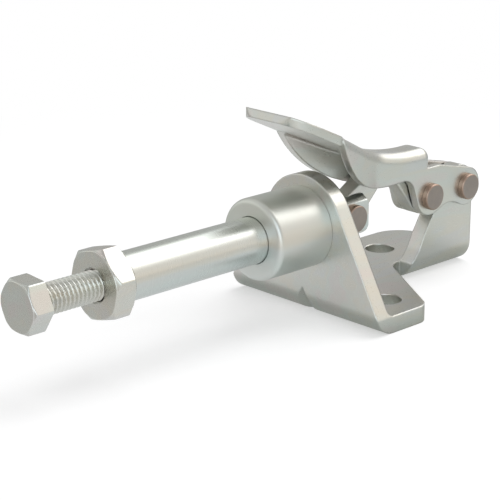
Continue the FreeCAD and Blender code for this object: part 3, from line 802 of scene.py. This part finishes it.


# The floor as metal mirrors it, in painted light and shade: tones across Y - X and along X, and a painted
# shadow that darkens it close to the foot.
def mirroredFloor(nodes, links, place, plan):
    apart = nodes.new("ShaderNodeSeparateXYZ")
    links.new(place, apart.inputs[0])
    lean = mathNode(nodes, links, "SUBTRACT", apart.outputs["Y"], apart.outputs["X"])
    across = rangeOf(nodes, links, lean, plan["mirroredFrom"], plan["mirroredTo"])
    along = rangeOf(nodes, links, apart.outputs["X"], plan["alongFrom"], plan["alongTo"])
    reach = reachBeyond(nodes, links, apart, plan["footprint"])
    # painted shadow: the mirrored floor darkens towards the clamp's foot
    openness = rangeOf(nodes, links, reach, 0.0, plan["nearReach"], smooth=True)
    paintedFootShade = mixColours(nodes, links, "MIX", openness, plan["nearShade"], (1.0, 1.0, 1.0))
    tones = rampOf(nodes, links, across, plan["mirrored"])
    tones = mixColours(nodes, links, "MULTIPLY", 1.0, tones, rampOf(nodes, links, along, plan["alongX"]))
    tones = mixColours(nodes, links, "ADD", 1.0, tones, tones)
    return mixColours(nodes, links, "MULTIPLY", 1.0, tones, paintedFootShade)


# A lit floor near the clamp that fades to white further out; metal sees the mirrored tones, painted light
# and shade with a painted shadow near the foot.
def floorPiece(plan):
    half = plan["floorHalf"]
    corners = [(-half, -half, 0), (half, -half, 0), (half, half, 0), (-half, half, 0)]
    mesh = bpy.data.meshes.new("paleFloor")
    mesh.from_pydata(corners, [], [(0, 1, 2, 3)])
    floor = addPiece("paleFloor", mesh)
    finish, nodes, links, shader = startFinish("paleFloor")
    place = nodes.new("ShaderNodeTexCoord").outputs["Object"]
    glossy = nodes.new("ShaderNodeLightPath").outputs["Is Glossy Ray"]
    white = (1.0, 1.0, 1.0)
    tones = mirroredFloor(nodes, links, place, plan)
    shaded = mixColours(nodes, links, "MULTIPLY", 1.0, tones, (plan["mirroredShade"],) * 3)
    lifted = mixColours(nodes, links, "MULTIPLY", 1.0, tones, (plan["mirroredLift"],) * 3)
    colour = mixColours(nodes, links, "MIX", glossy, plan["floorColour"], shaded)
    links.new(colour, shader.inputs["Base Color"])
    links.new(mixColours(nodes, links, "MIX", glossy, white, lifted), shader.inputs["Emission Color"])
    shader.inputs["Emission Strength"].default_value = plan["floorLift"]
    shader.inputs["Roughness"].default_value = plan["floorRoughness"]
    shader.inputs["Specular IOR Level"].default_value = plan["floorShine"]
    away = nodes.new("ShaderNodeVectorMath")
    away.operation = "LENGTH"
    links.new(place, away.inputs[0])
    far = rangeOf(nodes, links, away.outputs["Value"], plan["floorNear"], plan["floorFar"], smooth=True)
    outer = nodes.new("ShaderNodeEmission")
    links.new(mixColours(nodes, links, "MIX", glossy, white, tones), outer.inputs["Color"])
    mix = nodes.new("ShaderNodeMixShader")
    links.new(far, mix.inputs["Fac"])
    links.new(shader.outputs[0], mix.inputs[1])
    links.new(outer.outputs[0], mix.inputs[2])
    links.new(mix.outputs[0], nodes["Material Output"].inputs["Surface"])
    mesh.materials.append(finish)


# Turns an object at a place so that its -Z looks at the target.
def aimed(target, place):
    back = np.array(place, float) - np.array(target, float)
    back /= np.linalg.norm(back)
    side = np.cross((0.0, 0.0, 1.0), back)
    side /= np.linalg.norm(side)
    up = np.cross(back, side)
    turn = Matrix((side, up, back)).transposed().to_4x4()
    turn.translation = place
    return turn


lampTarget = (0.01, 0.0, 0.012)
lamps = {
    "overheadPanel": {"place": (-0.18, 0.05, 0.55), "size": 0.5, "power": 1.5},
    "nearPanel": {"place": (0.15, 0.5, 0.35), "size": 0.4, "power": 0.5},
}
skyNodes(studio, cards)
floorPiece(studio)
for name, plan in lamps.items():
    light = bpy.data.lights.new(name, "AREA")
    light.shape = "DISK"
    light.size = plan["size"]
    light.energy = plan["power"]
    lamp = addPiece(name, light)
    lamp.matrix_world = aimed(lampTarget, plan["place"])
    lamp.visible_glossy = False
print("studio lit")


# camera: azimuth and elevation of the photograph, with its slight roll
view = {
    "azimuth": 136.4725,
    "elevation": 17.7511,
    "roll": -0.1349,
    "lens": 121.624,
    "sensor": 36.0,
    "clipStart": 0.01,
    "place": (205.287, 193.167, 99.483),
}


def placeCamera(plan):
    azimuth, elevation, roll = np.radians([plan["azimuth"], plan["elevation"], plan["roll"]])
    level = np.array([math.cos(azimuth), math.sin(azimuth), 0.0])
    outward = np.array([math.sin(azimuth), -math.cos(azimuth), 0.0])
    back = outward * math.cos(elevation) + np.array([0.0, 0.0, math.sin(elevation)])
    upright = np.cross(back, level)
    side = math.cos(roll) * level + math.sin(roll) * upright
    up = -math.sin(roll) * level + math.cos(roll) * upright
    lens = bpy.data.cameras.new("photoView")
    lens.sensor_width = plan["sensor"]
    lens.lens = plan["lens"]
    lens.clip_start = plan["clipStart"]
    camera = addPiece("photoView", lens)
    turn = Matrix((side, up, back)).transposed().to_4x4()
    turn.translation = [value * mm for value in plan["place"]]
    camera.matrix_world = turn
    bpy.context.scene.camera = camera


placeCamera(view)
bpy.context.scene.view_settings.view_transform = "Standard"
print("camera placed")
